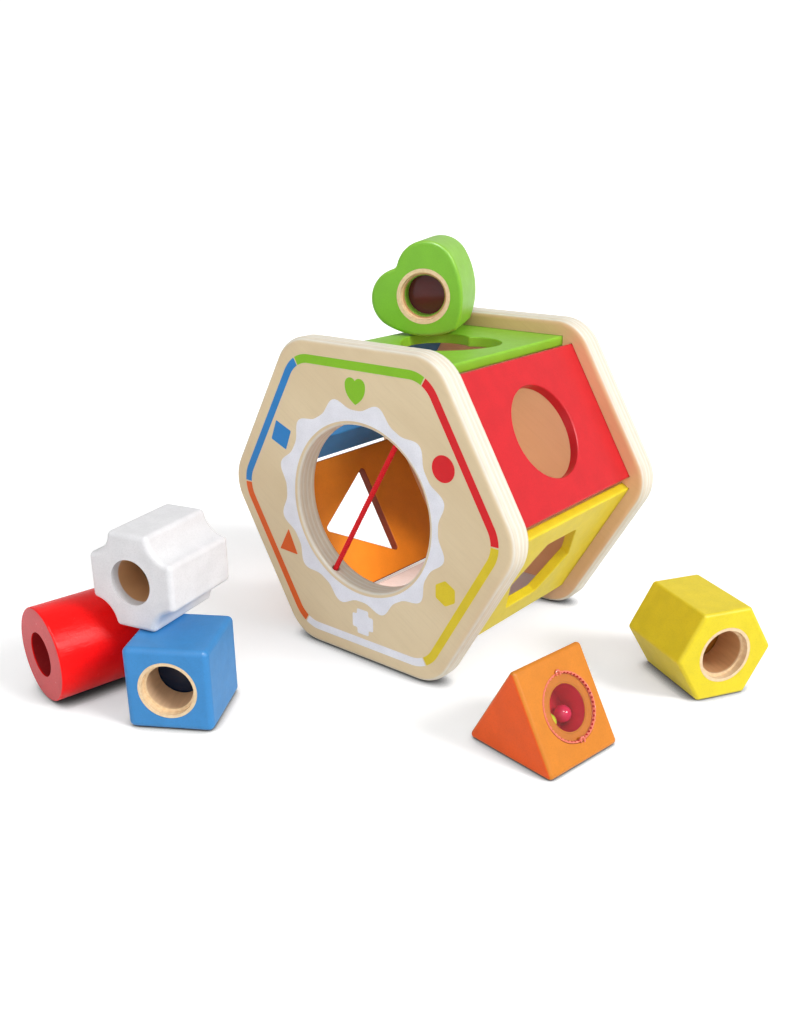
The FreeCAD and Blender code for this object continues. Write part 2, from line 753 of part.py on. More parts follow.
def cup(placement):
    """The red liner of the chamber, open towards the window."""
    body = new_body("rattle_cup")
    sketch = new_sketch(body, "outline")
    add_circle(sketch, "outer", "Sizes.cup_radius")
    pad(body, sketch, "blank", "Sizes.cup_depth")
    bore(body, "hollow", "Sizes.cup_radius - Sizes.cup_wall", depth="Sizes.cup_depth - Sizes.cup_wall")
    under_window = size("window_thickness") + size("glue_gap")
    body.Placement = placement.multiply(Placement(Vector(0, under_window, 0), Rotation()))
    return body


def bead(label, turn, depth, placement):
    """A bead that touches the cup's wall, turned about the chamber's axis from straight down."""
    orbit = size("cup_radius") - size("cup_wall") - size("bead_radius") - size("bead_gap")
    angle = math.radians(turn)
    centre = Vector(orbit * math.sin(angle), depth, -orbit * math.cos(angle))
    ball = doc.addObject("Part::Sphere", label)
    ball.Label = label
    ball.setExpression("Radius", "Sizes.bead_radius")
    ball.Placement = placement.multiply(Placement(centre, Rotation()))
    doc.recompute()
    return ball


def build_triangle():
    """Triangle prism on a rectangular side, its rattle chamber in the right-hand slope."""
    def profile(sketch):
        add_regular_polygon(sketch, 3, "Sizes.triangle_side / (2 * sqrt(3))", -30, 2)

    body = start_block("triangle_block", profile)
    round_all_edges(body)
    frame = chamber_frame()
    drill = frame.multiply(along_y())
    outside = frame.multiply(along_y(-1))
    subtract_cylinder(body, "recess", "Sizes.window_radius", "Sizes.window_thickness + 1", outside)
    subtract_cylinder(body, "chamber", "Sizes.cup_radius + Sizes.glue_gap",
                      "Sizes.window_thickness + Sizes.cup_depth + 2 * Sizes.glue_gap", drill)
    height = size("triangle_side") / (2 * math.sqrt(3))
    place = block_placement("triangle", height)
    body.Placement = place
    chamber = place.multiply(frame)
    spread = size("bead_spread")
    return [
        body,
        window(chamber),
        cup(chamber),
        bead("pink_bead", spread, size("pink_bead_depth"), chamber),
        bead("lime_bead", -spread, size("lime_bead_depth"), chamber),
    ]


# ---------------------------------------------------------------- build, check and write

pieces = build_plates()
for entry in BOARDS:
    pieces.append(board(*entry))
for build in (build_heart, build_cylinder, build_cross, build_cube, build_hexagon, build_triangle):
    pieces.extend(build())
doc.recompute()

for item in doc.Objects:
    if "Invalid" in item.State or "Error" in item.State:
        raise RuntimeError(f"{item.Name} failed: {item.State}")
for piece in pieces:
    if piece.Shape.isNull() or not piece.Shape.isValid() or len(piece.Shape.Solids) != 1:
        raise RuntimeError(f"{piece.Label} is not one valid solid")

os.makedirs("parts", exist_ok=True)
for piece in pieces:
    piece.Shape.exportStep(f"parts/{piece.Label}.step")
    print(f"{piece.Label:22s} {piece.Shape.Volume / 1000:8.2f} cm3")
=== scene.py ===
"""Looks of the wooden shape sorter: paint, plywood, prints, cord, lenses, light and camera."""

import math

import bpy
from mathutils import Matrix, Vector


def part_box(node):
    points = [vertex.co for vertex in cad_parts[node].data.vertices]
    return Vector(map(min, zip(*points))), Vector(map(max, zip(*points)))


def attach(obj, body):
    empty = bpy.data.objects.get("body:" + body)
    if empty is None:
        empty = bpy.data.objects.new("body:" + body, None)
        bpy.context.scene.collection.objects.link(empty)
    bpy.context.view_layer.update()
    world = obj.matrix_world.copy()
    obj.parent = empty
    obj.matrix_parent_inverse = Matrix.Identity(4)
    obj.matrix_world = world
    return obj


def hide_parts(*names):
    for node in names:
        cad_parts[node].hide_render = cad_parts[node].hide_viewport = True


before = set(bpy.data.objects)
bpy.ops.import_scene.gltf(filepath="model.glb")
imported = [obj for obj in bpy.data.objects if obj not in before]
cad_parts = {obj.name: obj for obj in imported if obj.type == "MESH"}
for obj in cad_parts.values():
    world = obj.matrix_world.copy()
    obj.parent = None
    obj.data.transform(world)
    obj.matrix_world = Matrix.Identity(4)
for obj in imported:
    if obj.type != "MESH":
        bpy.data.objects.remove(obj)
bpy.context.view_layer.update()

MM = 0.001  # every length below is in millimetres, and Blender's unit is the metre

# ---------------------------------------------------------------- sizes shared with the CAD part

PLATE_FRONT_Y = -5.5
PLATE_THICKNESS = 11.0
REAR_PLATE_Y = 95.5
BOX_CENTRE_Z = 68.5
OPENING_RADIUS = 35.7
BLOCK_LENGTH = 37.0
HEART_LENGTH = 35.0
CUBE_LENGTH = 33.8
BORE_RADIUS = 9.3
HEART_TURN, HEART_ROLL = 26.0, 46.0
CROSS_TURN = 13.9
CUBE_TURN = 31.9
HEXAGON_TURN = 59.1
TRIANGLE_TURN = -9.1
CYLINDER_TURN = -9.0
WINDOW_TILT = 30.0
WINDOW_RADIUS = 13.0
WINDOW_THICKNESS = 1.0
CORD_SLOPE = 60.0

# ---------------------------------------------------------------- sizes of the looks only

PRINT_HEIGHT = 0.06
STRIP_APOTHEM = 60.0
STRIP_CORNER_RADIUS = 14.0
STRIP_WIDTH = 3.6
STRIP_END_GAP = 1.2  # degrees round the corner
FACE_GRAIN_ANGLE = 32.0
PLY_COUNT = 9
BORE_PAINT_REACH = BORE_RADIUS + 0.3  # from the bore's axis, so that all of its wall is covered
# painted shade covers the wall of a lined bore out to this reach from its axis
BORE_SHADE_REACH = BORE_RADIUS + 0.5
PALE_RIM_DEPTH = 3.2
CUP_LIP_HEIGHT = -1.4
WINDOW_RING_WIDTH = 0.95
WINDOW_RECESS = -0.45
KNURLS = 46
KNURL_DEPTH = 0.50
CORD_LENGTH = 83.0
STRAND_PAIRS = 4
STRAND_SIDES = 6
STRAND_STEPS = 184

# ---------------------------------------------------------------- colours, in linear light

GREEN = (0.255, 0.560, 0.030)
# the heart's faces: green with painted shade, darker than its lit sides
HEART_FACE_SHADE_GREEN = (0.205, 0.530, 0.024)
RED = (0.640, 0.012, 0.019)
YELLOW = (0.820, 0.660, 0.022)
WHITE = (0.775, 0.770, 0.785)
ORANGE = (0.680, 0.220, 0.016)
ORANGE_END = (0.880, 0.105, 0.008)
BLUE = (0.041, 0.250, 0.585)
CYLINDER_RED = (0.960, 0.006, 0.006)
# the end faces' red paint, paled towards pink as a painted sheen
CYLINDER_END_SHEEN_RED = (0.700, 0.085, 0.090)
# the bore's red paint, darkened with painted shade
SHADED_CYLINDER_BORE_RED = (0.300, 0.012, 0.014)
PRINT_GREEN = (0.250, 0.560, 0.018)
PRINT_RED = (0.760, 0.012, 0.018)
PRINT_YELLOW = (0.770, 0.590, 0.024)
PRINT_WHITE = (0.880, 0.880, 0.940)
PRINT_ORANGE = (0.820, 0.125, 0.014)
PRINT_BLUE = (0.024, 0.230, 0.600)
BIRCH_LIGHT = (0.810, 0.655, 0.420)
BIRCH_DARK = (0.750, 0.590, 0.365)
# the plates' inner faces: birch tinted warmer and redder as painted bounce light from the boards
INNER_BOUNCE_PALE = (0.860, 0.540, 0.300)
INNER_BOUNCE_DEEP = (0.790, 0.480, 0.255)
PLY_EDGE_LIGHT = (0.840, 0.790, 0.680)
PLY_EDGE_DARK = (0.790, 0.710, 0.570)
GLUE_LINE = (0.420, 0.320, 0.210)
BEECH_LIGHT = (0.860, 0.660, 0.420)
BEECH_DARK = (0.780, 0.560, 0.330)
# bare wood inside the bores, darkened with painted shade; the paler one is the cube's lightly shaded
# bore
SHADED_BORE_WOOD = (0.640, 0.350, 0.165)
LIGHTLY_SHADED_BORE_WOOD = (0.740, 0.500, 0.310)
# painted shade: the deep red-brown that stands for shadow on the orange board's edges and hole walls
HOLE_SHADE = (0.250, 0.040, 0.010)
CORD_RED = (0.900, 0.014, 0.022)
RED_LENS = (0.140, 0.024, 0.026)
BROWN_LENS = (0.030, 0.016, 0.010)
BLUE_LENS = (0.006, 0.018, 0.050)
AMBER_LENS = (0.450, 0.170, 0.020)
CLEAR_TINT = (0.970, 0.960, 0.950)
RING_RED = (0.820, 0.200, 0.130)
# painted shade in the gaps between the window ring's teeth
RING_SHADE = (0.420, 0.015, 0.015)
CUP_RED = (0.780, 0.030, 0.060)
BEAD_PINK = (0.800, 0.030, 0.120)
BEAD_LIME = (0.620, 0.800, 0.040)
GLOW_TINT = (1.0, 0.42, 0.42)
SPOT_TINT = (1.0, 0.82, 0.70)

# ---------------------------------------------------------------- light and camera

DOME_LIGHT = 0.62
HORIZON_LIGHT = 1.1
FLOOR_REACH = 12000.0
FLOOR_GLOW = 0.22
# reach of the painted contact shadow on the floor
CONTACT_SHADOW_REACH = 7.0
CALM_SHARE = 0.85
CAMERA_PLACE = (262.1, -291.1, 205.0)
CAMERA_AZIMUTH, CAMERA_ELEVATION, CAMERA_ROLL = 40.1, 19.5, -0.77
CAMERA_LENS = 35.16
CAMERA_SENSOR = 36.0

SIDE_ON, FACE_ON = 0.70, 0.95  # cosines between which a surface starts to count as facing an axis


# ---------------------------------------------------------------- node graphs

class Graph:
    """A material's node tree, with one short call for each node."""

    def __init__(self, name):
        self.material = bpy.data.materials.new(name)
        self.material.use_nodes = True
        self.tree = self.material.node_tree
        self.tree.nodes.clear()

    def node(self, kind, inputs=None, **settings):
        made = self.tree.nodes.new(kind)
        for key, value in settings.items():
            setattr(made, key, value)
        for key, value in (inputs or {}).items():
            self.feed(made.inputs[key], value)
        return made

    def feed(self, socket, value):
        if isinstance(value, bpy.types.NodeSocket):
            self.tree.links.new(value, socket)
        elif hasattr(value, "__len__") and len(value) == 3 and len(socket.default_value) == 4:
            socket.default_value = (*value, 1.0)
        else:
            socket.default_value = value

    def math(self, operation, *numbers):
        inputs = dict(enumerate(numbers))
        return self.node("ShaderNodeMath", inputs, operation=operation).outputs[0]

    def mix(self, factor, first, second):
        inputs = {"Factor": factor, 6: first, 7: second}
        return self.node("ShaderNodeMix", inputs, data_type="RGBA").outputs[2]

    def ramp(self, value, low, high):
        """0 at low, 1 at high, smooth between and level beyond; low may be the larger one."""
        inputs = {"Value": value, "From Min": low, "From Max": high}
        made = self.node("ShaderNodeMapRange", inputs, interpolation_type="SMOOTHSTEP")
        return made.outputs["Result"]

    def split(self, vector):
        """The x, y and z of a vector."""
        return self.node("ShaderNodeSeparateXYZ", {0: vector}).outputs

    def normal(self):
        return self.node("ShaderNodeTexCoord").outputs["Normal"]

    def light_path(self, question):
        return self.node("ShaderNodeLightPath").outputs[question]

    def position(self, matrix=None, stretch=(1.0, 1.0, 1.0)):
        """Millimetre coordinates on the object, in another frame if its matrix is given."""
        coords = self.node("ShaderNodeTexCoord").outputs["Object"]
        to_mm = Matrix.Scale(1 / MM, 4)
        place = to_mm if matrix is None else to_mm @ matrix.inverted()
        made = self.node("ShaderNodeMapping", {"Vector": coords})
        made.inputs["Location"].default_value = place.translation
        made.inputs["Rotation"].default_value = place.to_euler()
        made.inputs["Scale"].default_value = (1 / MM,) * 3
        stretched = self.node("ShaderNodeVectorMath", {0: made.outputs[0]}, operation="MULTIPLY")
        stretched.inputs[1].default_value = stretch
        return stretched.outputs[0]

    def noise(self, vector, scale, detail=3.0, roughness=0.5):
        inputs = {"Vector": vector, "Scale": scale, "Detail": detail, "Roughness": roughness}
        return self.node("ShaderNodeTexNoise", inputs).outputs["Fac"]

    def bump(self, height, strength, distance, normal=None):
        inputs = {"Height": height, "Strength": strength, "Distance": distance * MM}
        if normal is not None:
            inputs["Normal"] = normal
        return self.node("ShaderNodeBump", inputs).outputs["Normal"]

    def finish(self, shader):
        """Makes a shader the material's surface."""
        output = self.node("ShaderNodeOutputMaterial")
        self.tree.links.new(shader.outputs[0], output.inputs["Surface"])
        return self.material

    def surface(self, **inputs):
        """The principled shader, with its inputs named in words, as the material's surface."""
        named = {key.replace("_", " "): value for key, value in inputs.items()}
        return self.finish(self.node("ShaderNodeBsdfPrincipled", named))


def darker(colour, factor):
    return tuple(channel * factor for channel in colour)


def grey_of(colour):
    return (sum(colour) / 3,) * 3


# ---------------------------------------------------------------- parts of a material

def grain_bump(graph, place, along, depth):
    """Wood fibres under a coat of lacquer or paint: long streaks, and the coat's own ripple."""
    stretch = tuple(0.06 if axis == along else 1.0 for axis in range(3))
    fibres = graph.noise(graph.position(place, stretch), scale=1.6, detail=4.0, roughness=0.6)
    ripple = graph.noise(graph.position(place), scale=0.9, detail=2.0)
    first = graph.bump(fibres, strength=0.35, distance=depth)
    return graph.bump(ripple, strength=0.25, distance=depth, normal=first)


def paint_colour(graph, colour, place):
    """Paint drifts between two close tones and has small darker specks."""
    cloud = graph.noise(graph.position(place), scale=0.12, detail=3.0)
    speck = graph.noise(graph.position(place), scale=1.8, detail=2.0)
    even = graph.mix(graph.ramp(cloud, 0.3, 0.7), darker(colour, 0.95), darker(colour, 1.03))
    specks = graph.math("MULTIPLY", graph.ramp(speck, 0.40, 0.75), 0.25)
    return graph.mix(specks, even, darker(colour, 0.72))


def facing_along(graph, place, along):
    """How squarely the surface faces one axis of a frame: 0 is side on, 1 is face on."""
    axis = Vector((0, 0, 0))
    axis[along] = 1
    if place is not None:
        axis = place.to_3x3() @ axis
    dot = graph.node("ShaderNodeVectorMath", {0: graph.normal()}, operation="DOT_PRODUCT")
    dot.inputs[1].default_value = axis
    return graph.ramp(graph.math("ABSOLUTE", dot.outputs["Value"]), SIDE_ON, FACE_ON)


def bore_mask(graph, place, reach, mouth, length=BLOCK_LENGTH):
    """1 within a reach of a bore's axis and deeper than its mouth, in the block's own frame."""
    x, y, z = graph.split(graph.position(place))
    squared = graph.math("ADD", graph.math("MULTIPLY", x, x), graph.math("MULTIPLY", z, z))
    inside = graph.math("LESS_THAN", graph.math("SQRT", squared), reach)
    depth = graph.math("SUBTRACT", length / 2, graph.math("ABSOLUTE", y))
    deep = graph.ramp(depth, mouth - 0.4, mouth + 0.4)
    return graph.math("MULTIPLY", inside, deep)


def calmed(graph, shown, colour):
    """As seen, but mostly the colour's grey to light that bounces down on to the white floor."""
    towards = graph.node("ShaderNodeNewGeometry").outputs["Incoming"]
    goes_down = graph.ramp(graph.split(towards)[2], 0.0, -0.25)
    bounced_down = graph.math("MULTIPLY", graph.light_path("Is Diffuse Ray"), goes_down)
    share = graph.math("MULTIPLY", bounced_down, CALM_SHARE)
    return graph.mix(share, shown, grey_of(colour))


def veneer(graph, light, dark):
    """The plates' birch face: pale, with short faint streaks that run down to the right."""
    grain = Matrix.Rotation(math.radians(FACE_GRAIN_ANGLE), 4, "Y")
    streaks = graph.noise(graph.position(grain, (0.05, 1.0, 1.0)), scale=0.9, detail=4.0, roughness=0.6)
    pores = graph.noise(graph.position(grain, (0.10, 1.0, 1.0)), scale=3.2, detail=2.0)
    figure = graph.noise(graph.position(grain, (0.45, 1.0, 1.0)), scale=0.035, detail=3.0)
    face = graph.mix(graph.ramp(figure, 0.35, 0.70), light, dark)
    shade = graph.math("MULTIPLY", graph.ramp(streaks, 0.45, 0.72), 0.28)
    face = graph.mix(shade, face, darker(dark, 0.92))
    flecks = graph.math("MULTIPLY", graph.ramp(pores, 0.60, 0.75), 0.12)
    return graph.mix(flecks, face, darker(dark, 0.75))


def ply_edge(graph, first_y):
    """The plates' edge: thin plies of long grain and end grain, with a glue line between them."""
    ply = PLATE_THICKNESS / PLY_COUNT
    y = graph.split(graph.position())[1]
    wobble = graph.math("SUBTRACT", graph.noise(graph.position(), scale=0.04, detail=1.0), 0.5)
    depth = graph.math("SUBTRACT", y, first_y)
    depth = graph.math("ADD", depth, graph.math("MULTIPLY", wobble, 0.5))
    wave = graph.math("SINE", graph.math("MULTIPLY", depth, math.pi / ply))
    streaks = graph.noise(graph.position(None, (0.15, 1.0, 0.15)), scale=1.6, detail=4.0, roughness=0.6)
    streaks = graph.ramp(streaks, 0.35, 0.7)
    light = graph.mix(streaks, PLY_EDGE_LIGHT, darker(PLY_EDGE_LIGHT, 0.93))
    dark = graph.mix(streaks, PLY_EDGE_DARK, darker(PLY_EDGE_DARK, 0.92))
    edge = graph.mix(graph.ramp(wave, 0.12, -0.12), light, dark)
    glue = graph.ramp(graph.math("ABSOLUTE", wave), 0.24, 0.04)
    return graph.mix(graph.math("MULTIPLY", glue, 0.26), edge, GLUE_LINE)


# ---------------------------------------------------------------- whole materials

def painted(name, colour, place=None, along=1, bore=None, end_colour=None, depth=0.05,
            roughness=0.38, gloss=0.30, calm=False):
    """Semi-gloss paint on wood. An end colour covers the faces that look along the grain's axis.
    A bore is (reach from its axis, colour, how deep its mouth stays painted)."""
    graph = Graph(name)
    shown = paint_colour(graph, colour, place)
    if end_colour:
        at_end = facing_along(graph, place, along)
        shown = graph.mix(at_end, shown, paint_colour(graph, end_colour, place))
    if bore:
        reach, bore_colour, mouth = bore
        shown = graph.mix(bore_mask(graph, place, reach, mouth), shown, bore_colour)
    if calm:
        shown = calmed(graph, shown, colour)
    cloud = graph.noise(graph.position(place), scale=0.35, detail=3.0)
    return graph.surface(
        Base_Color=shown, Roughness=graph.math("MULTIPLY_ADD", cloud, 0.14, roughness - 0.07),
        Specular_IOR_Level=gloss, Normal=grain_bump(graph, place, along, depth))


def turned_beech(name, place, length, shaded_bore_wood):
    """Lacquered beech with its grain along Y, pale at the rim and darker down the bore, where painted
    shade darkens the wood.
    """
    graph = Graph(name)
    along_bore = graph.position(place, (1.0, 0.10, 1.0))
    streaks = graph.ramp(graph.noise(along_bore, scale=0.7, detail=4.0, roughness=0.55), 0.3, 0.72)
    flecks = graph.ramp(graph.noise(along_bore, scale=3.0, detail=2.0), 0.58, 0.72)
    rim = graph.mix(streaks, BEECH_LIGHT, BEECH_DARK)
    rim = graph.mix(graph.math("MULTIPLY", flecks, 0.12), rim, darker(BEECH_DARK, 0.8))
    # painted shade: deeper than the pale rim, the bore's wall is drawn in darker wood
    wall = graph.mix(streaks, shaded_bore_wood, darker(shaded_bore_wood, 0.88))
    is_wall = bore_mask(graph, place, BORE_SHADE_REACH, PALE_RIM_DEPTH, length)
    return graph.surface(
        Base_Color=graph.mix(is_wall, rim, wall), Roughness=0.42, Specular_IOR_Level=0.35,
        Normal=grain_bump(graph, place, 1, 0.04))


def plywood(name, first_y, inward):
    """A plate's plywood. Inward is +1 or -1: the way along Y that its inner face looks, which gets a
    warmer birch as painted bounce light from the painted boards.
    """
    graph = Graph(name)
    is_face = facing_along(graph, None, 1)
    shown = graph.mix(is_face, ply_edge(graph, first_y), veneer(graph, BIRCH_LIGHT, BIRCH_DARK))
    towards_inside = graph.math("MULTIPLY", graph.split(graph.normal())[1], inward)
    is_inner = graph.ramp(towards_inside, SIDE_ON, FACE_ON)
    # painted bounce light: the inner face gets a warmer, redder veneer
    shown = graph.mix(is_inner, shown, veneer(graph, INNER_BOUNCE_PALE, INNER_BOUNCE_DEEP))
    return graph.surface(
        Base_Color=calmed(graph, shown, BIRCH_LIGHT), Roughness=0.45, Specular_IOR_Level=0.35,
        Normal=grain_bump(graph, None, 2, 0.04))


def dark_lens(name, tint):
    """Tinted plastic under a glossy skin; most of the tints are so deep that they look black."""
    graph = Graph(name)
    cloud = graph.noise(graph.position(), scale=0.15, detail=2.0)
    shown = graph.mix(cloud, tint, darker(tint, 0.7))
    return graph.surface(Base_Color=shown, Roughness=0.12, Specular_IOR_Level=0.4)


def clear_plastic(name):
    """Thin clear plastic: straight through, with a faint reflection on its outer face."""
    graph = Graph(name)
    ripple = graph.noise(graph.position(), scale=0.25, detail=2.0)
    normal = graph.bump(ripple, strength=0.10, distance=0.05)
    facing = graph.node("ShaderNodeLayerWeight", {"Blend": 0.15, "Normal": normal}).outputs[0]
    behind = graph.node("ShaderNodeNewGeometry").outputs["Backfacing"]
    in_front = graph.math("SUBTRACT", 1.0, behind)
    shine = graph.math("MULTIPLY", graph.math("ADD", facing, 0.05), in_front)
    through = graph.node("ShaderNodeBsdfTransparent", {"Color": CLEAR_TINT}).outputs[0]
    gloss = graph.node("ShaderNodeBsdfGlossy", {"Roughness": 0.06, "Normal": normal}).outputs[0]
    return graph.finish(graph.node("ShaderNodeMixShader", {0: shine, 1: through, 2: gloss}))


def plastic(name, colour, roughness=0.18, lip_colour=None):
    """Shiny plastic. A lip colour covers whatever lies just under the rattle's window."""
    graph = Graph(name)
    cloud = graph.noise(graph.position(), scale=0.4, detail=3.0)
    shown = graph.mix(cloud, darker(colour, 0.92), darker(colour, 1.05))
    if lip_colour:
        height = graph.split(graph.position(window_frame()))[2]
        lip = graph.ramp(height, CUP_LIP_HEIGHT - 0.1, CUP_LIP_HEIGHT + 0.1)
        shown = graph.mix(lip, shown, lip_colour)
    ripple = graph.noise(graph.position(), scale=0.6, detail=2.0)
    return graph.surface(
        Base_Color=shown, Roughness=roughness, Specular_IOR_Level=0.45,
        Normal=graph.bump(ripple, strength=0.12, distance=0.03))


def elastic(name, colour):
    """Braided textile: soft sheen, no shine, and a fine fuzz."""
    graph = Graph(name)
    fuzz = graph.noise(graph.position(), scale=4.0, detail=3.0, roughness=0.7)
    shown = graph.mix(graph.ramp(fuzz, 0.3, 0.7), darker(colour, 0.75), colour)
    return graph.surface(
        Base_Color=shown, Roughness=0.75, Specular_IOR_Level=0.15, Sheen_Weight=0.1,
        Normal=graph.bump(fuzz, strength=0.5, distance=0.05))


def white_floor():
    """Grey card to bounced light. To the camera, a bright sweep with faint soft shadows, and a painted
    contact shadow that turns dark only where a piece touches or nearly touches it."""
    graph = Graph("floor_white")
    cloud = graph.noise(graph.position(), scale=0.002, detail=2.0)
    card = graph.mix(cloud, (0.80, 0.80, 0.80), (0.82, 0.82, 0.82))
    reach = {"Distance": CONTACT_SHADOW_REACH * MM}
    # painted contact shadow: occlusion within a short reach darkens the floor's colour and glow
    occlusion = graph.node("ShaderNodeAmbientOcclusion", reach, samples=8)
    is_open = graph.ramp(occlusion.outputs["AO"], 0.10, 0.90)
    sweep = graph.mix(is_open, (0.10, 0.10, 0.10), (1.0, 1.0, 1.0))
    seen = graph.light_path("Is Camera Ray")
    glow = graph.math("MULTIPLY", graph.math("MULTIPLY", seen, is_open), FLOOR_GLOW)
    return graph.surface(
        Base_Color=graph.mix(seen, card, sweep), Roughness=0.9, Specular_IOR_Level=0.0,
        Emission_Color=(1.0, 1.0, 1.0), Emission_Strength=glow)


# ---------------------------------------------------------------- frames and new objects

def block_frame(node, turn, roll=0.0):
    """A frame at the middle of a node's box, with its Y along the block and Z up."""
    low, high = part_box(node)
    place = Matrix.Translation((low + high) / 2) @ Matrix.Rotation(math.radians(turn), 4, "Z")
    return place @ Matrix.Rotation(math.radians(-roll), 4, "Y")


def axis_frame(node, axis):
    """A frame at the middle of a round node, with Z along its own axis and Y up the slope."""
    low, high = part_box(node)
    side = Vector((0, 0, 1)).cross(axis).normalized()
    turn = Matrix((side, axis.cross(side), axis)).transposed().to_4x4()
    return Matrix.Translation((low + high) / 2) @ turn


def window_frame():
    """At the middle of the clear disc's outer face, with Z outwards and Y up the slope."""
    tilt = math.radians(WINDOW_TILT)
    turn = Matrix.Rotation(math.radians(TRIANGLE_TURN), 3, "Z")
    axis = turn @ Vector((math.cos(tilt), 0, math.sin(tilt)))
    low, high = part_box("triangle_window")
    middle = (low + high) / 2
    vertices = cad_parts["triangle_window"].data.vertices
    inner_face = min((vertex.co - middle).dot(axis) for vertex in vertices)
    outer_face = Matrix.Translation((0, 0, inner_face + WINDOW_THICKNESS * MM))
    return axis_frame("triangle_window", axis) @ outer_face


def set_material(node, material):
    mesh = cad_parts[node].data
    mesh.materials.clear()
    mesh.materials.append(material)


def new_object(name, data):
    """An object in the scene that holds a mesh, a light or a camera."""
    made = bpy.data.objects.new(name, data)
    bpy.context.scene.collection.objects.link(made)
    return made


def add_mesh(name, vertices, faces, body, material, place=None):
    """A new piece that rides on a body; its vertices are millimetres in the place's frame."""
    mesh = bpy.data.meshes.new(name)
    mesh.from_pydata([Vector(v) * MM for v in vertices], [], faces)
    if place is not None:
        mesh.transform(place)
    mesh.materials.append(material)
    made = new_object(name, mesh)
    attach(made, body)
    return made


def smooth_shading(made, sharp_angle=40):
    made.data.shade_smooth()
    made.data.set_sharp_from_angle(angle=math.radians(sharp_angle))


def lathe(rings, count, wave=None):
    """Vertices and faces of a turned shape. Each ring is (radius, height), from end to end. A
    wave is (teeth, depth, which ring) and cuts that ring into teeth."""
    vertices = []
    faces = []
    for index, (radius, height) in enumerate(rings):
        for i in range(count):
            angle = 2 * math.pi * i / count
            reach = radius
            if wave and wave[2] == index:
                reach += wave[1] * (0.5 - 0.5 * math.cos(wave[0] * angle))
            vertices.append((reach * math.cos(angle), reach * math.sin(angle), height))
    for ring in range(len(rings) - 1):
        for i in range(count):
            a, b = ring * count + i, ring * count + (i + 1) % count
            faces.append((a, a + count, b + count, b))
    faces.append(tuple(range(count)))
    last = (len(rings) - 1) * count
    faces.append(tuple(reversed(range(last, last + count))))
    return vertices, faces


def tube_faces(first, steps, sides):
    """The faces of a closed tube whose rings of vertices start at the given vertex."""
    faces = []
    for step in range(steps):
        for side in range(sides):
            a = first + step * sides + side
            b = first + step * sides + (side + 1) % sides
            faces.append((a, b, b + sides, a + sides))
    last = first + steps * sides
    faces.append(tuple(reversed(range(first, first + sides))))
    faces.append(tuple(range(last, last + sides)))
    return faces


# ---------------------------------------------------------------- outlines in a plane

def circle_points(radius, count, first=0.0):
    points = []
    for i in range(count):
        angle = math.radians(first + 360 * i / count)
        points.append((radius * math.cos(angle), radius * math.sin(angle)))
    return points


def bent(start, bend, end, t):
    """The point at a share t of the quadratic curve from start to end."""
    return start * (1 - t) ** 2 + bend * 2 * t * (1 - t) + end * t * t


def rounded(corners, radius, steps=5):
    """A polygon with each corner cut by a quadratic curve that starts a radius away."""
    points = []
    for i, corner in enumerate(corners):
        here = Vector(corner)
        before = Vector(corners[i - 1]) - here
        after = Vector(corners[(i + 1) % len(corners)]) - here
        start = here + before.normalized() * radius
        end = here + after.normalized() * radius
        points += [tuple(bent(start, here, end, step / steps)) for step in range(steps + 1)]
    return points


def turned(points, degrees, x, z):
    """Points turned about their origin, then moved."""
    c, s = math.cos(math.radians(degrees)), math.sin(math.radians(degrees))
    return [(x + c * px - s * pz, z + s * px + c * pz) for px, pz in points]


# ---------------------------------------------------------------- printed decoration

def strip_edge(facing, radius):
    """One edge of a strip: half of the corner before its side, then half of the corner after."""
    steps = 8
    reach = (STRIP_APOTHEM - STRIP_CORNER_RADIUS) / math.cos(math.radians(30))
    halves = {-1: (facing - 30 + STRIP_END_GAP, facing), 1: (facing, facing + 30 - STRIP_END_GAP)}
    points = []
    for end, (first, last) in halves.items():
        corner = math.radians(facing + 30 * end)
        centre = Vector((math.cos(corner), math.sin(corner))) * reach
        for step in range(steps + 1):
            angle = math.radians(first + (last - first) * step / steps)
            points.append((centre.x + radius * math.cos(angle),
                           centre.y + radius * math.sin(angle)))
    return points


def strip_outline(facing):
    """One sixth of the coloured hexagonal line, from mid-corner to mid-corner."""
    outer = strip_edge(facing, STRIP_CORNER_RADIUS + STRIP_WIDTH / 2)
    inner = strip_edge(facing, STRIP_CORNER_RADIUS - STRIP_WIDTH / 2)
    return outer + inner[::-1]


def sunburst():
    """The wavy white ring: twelve soft peaks outside, printed a little off the opening's centre."""
    peaks, valley, peak, inner = 12, 41.6, 46.1, 37.6
    off_x, off_z = -1.0, 0.55
    outline = []
    for degree in range(360):
        angle = math.radians(degree)
        lift = (0.5 - 0.5 * math.cos(peaks * angle)) ** 1.6
        radius = valley + (peak - valley) * lift
        outline.append((off_x + radius * math.cos(angle), off_z + radius * math.sin(angle)))
    return [outline, circle_points(inner, count=180)]


def heart_icon():
    """Two round lobes that meet in a notch, and full sides that meet in a point."""
    lobe, radius, lobe_steps = Vector((2.4, 0.0)), 3.0, 12
    bend, tip, side_steps = Vector((5.6, -4.8)), Vector((0.0, -7.8)), 8
    notch = 180 - math.degrees(math.acos(lobe.x / radius))
    half = []
    for step in range(lobe_steps + 1):
        angle = math.radians(notch * (1 - step / lobe_steps))
        half.append(lobe + Vector((math.cos(angle), math.sin(angle))) * radius)
    start = half[-1]
    half += [bent(start, bend, tip, step / side_steps) for step in range(1, side_steps + 1)]
    mirrored = [(-p.x, p.y) for p in reversed(half[1:-1])]
    return [tuple(p) for p in half] + mirrored


def cross_icon():
    """A cross with short, wide, softly rounded arms."""
    reach, half_width, rounding = 5.8, 3.2, 0.9
    arm = [(reach, -half_width), (reach, half_width), (half_width, half_width)]
    points = []
    for quarter in range(4):
        points += turned(arm, 90 * quarter, 0, 0)
    return rounded(points, rounding, steps=4)


